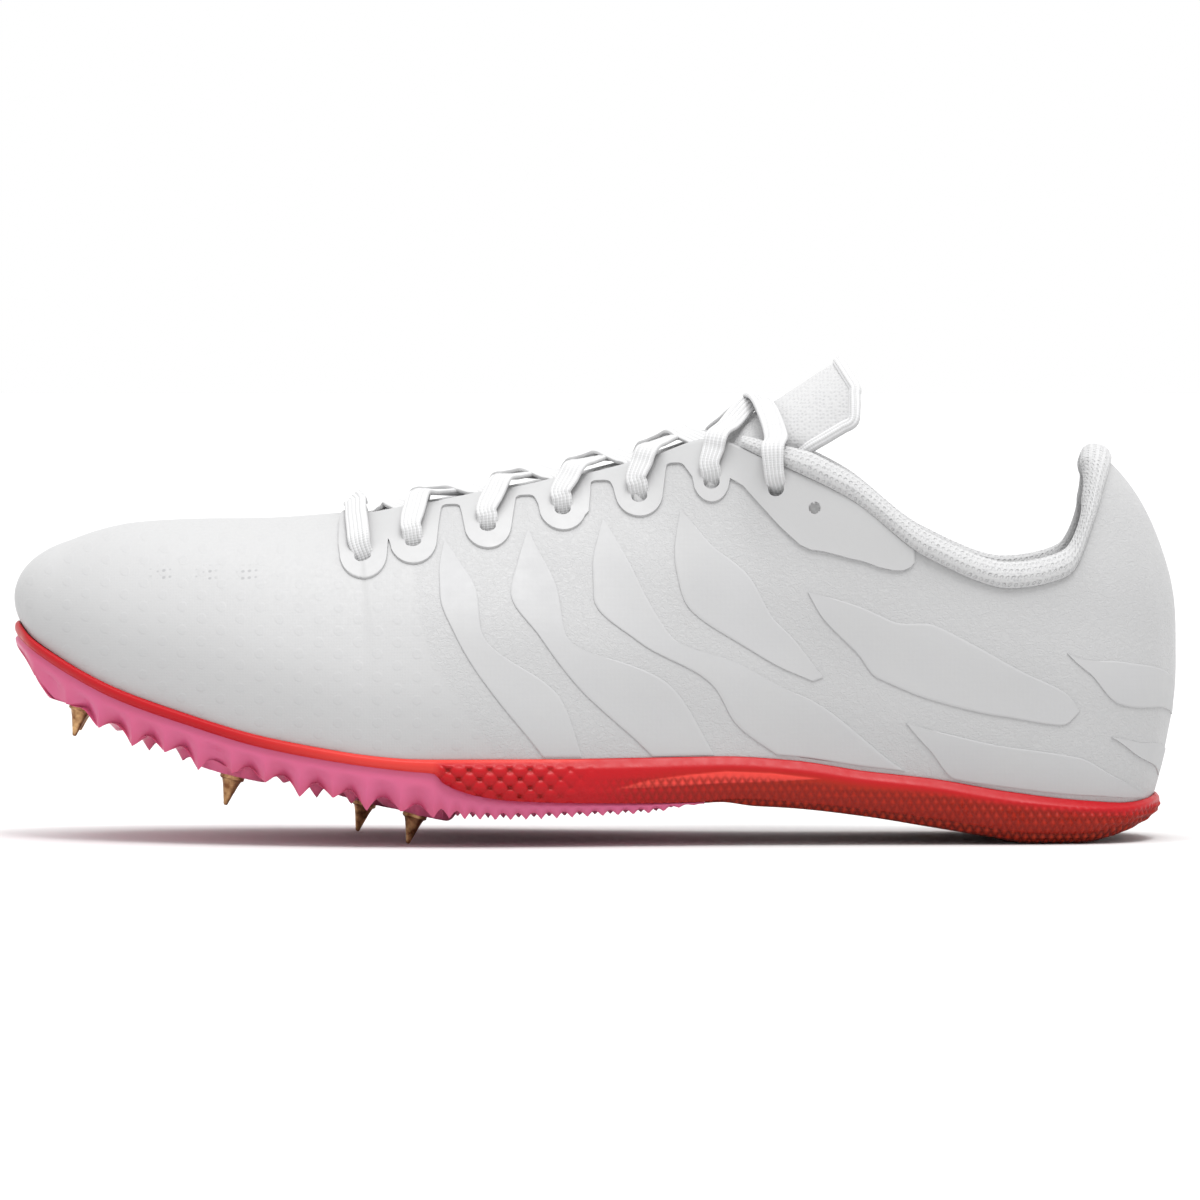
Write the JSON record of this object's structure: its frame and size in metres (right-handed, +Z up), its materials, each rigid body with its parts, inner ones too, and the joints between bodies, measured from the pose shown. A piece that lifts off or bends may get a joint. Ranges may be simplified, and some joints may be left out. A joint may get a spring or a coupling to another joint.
{
  "type": "track spike shoe",
  "caption": "Low track spike shoe: thin hollow upper with laced throat, padded collar, tongue, red foam midsole, toothed plate with screw-in pins and heel rubber.",
  "frame": {"origin": "on the ground under the middle of the shoe's bounding box", "axes": "toe points to -Y, heel to +Y, the foot's outer side to +X, +Z up"},
  "size_m": [0.0964, 0.2846, 0.1168],
  "materials": {
    "mesh_white": "white crinkled synthetic mesh, semi-matte",
    "film_white": "thin welded white film, satin",
    "knit_white": "soft white knit over thin padding",
    "lace_white": "flat woven lace, matte",
    "insole_grey": "grey brushed textile over thin foam",
    "foam_red": "moulded red foam, satin",
    "rubber_orange": "orange-red rubber, satin",
    "plate_pink": "pink moulded nylon, half gloss",
    "pin_bronze": "brownish plated steel, worn"
  },
  "bodies": {
    "root": {"upper": "mesh_white", "eyestay_outer": "film_white", "eyestay_inner": "film_white", "collar": "knit_white", "tongue": "knit_white", "insole": "insole_grey", "midsole": "foam_red", "spike_plate": "plate_pink", "heel_outsole": "rubber_orange", "spike_toe_outer": "pin_bronze", "spike_toe_inner": "pin_bronze", "spike_front_outer": "pin_bronze", "spike_front_inner": "pin_bronze", "spike_rear_outer": "pin_bronze", "spike_rear_inner": "pin_bronze", "lace_bar": "lace_white", "lace_crossing_1": "lace_white", "lace_crossing_2": "lace_white", "lace_crossing_3": "lace_white", "lace_crossing_4": "lace_white", "lace_crossing_5": "lace_white", "lace_crossing_6": "lace_white"}
  },
  "joints": []
}
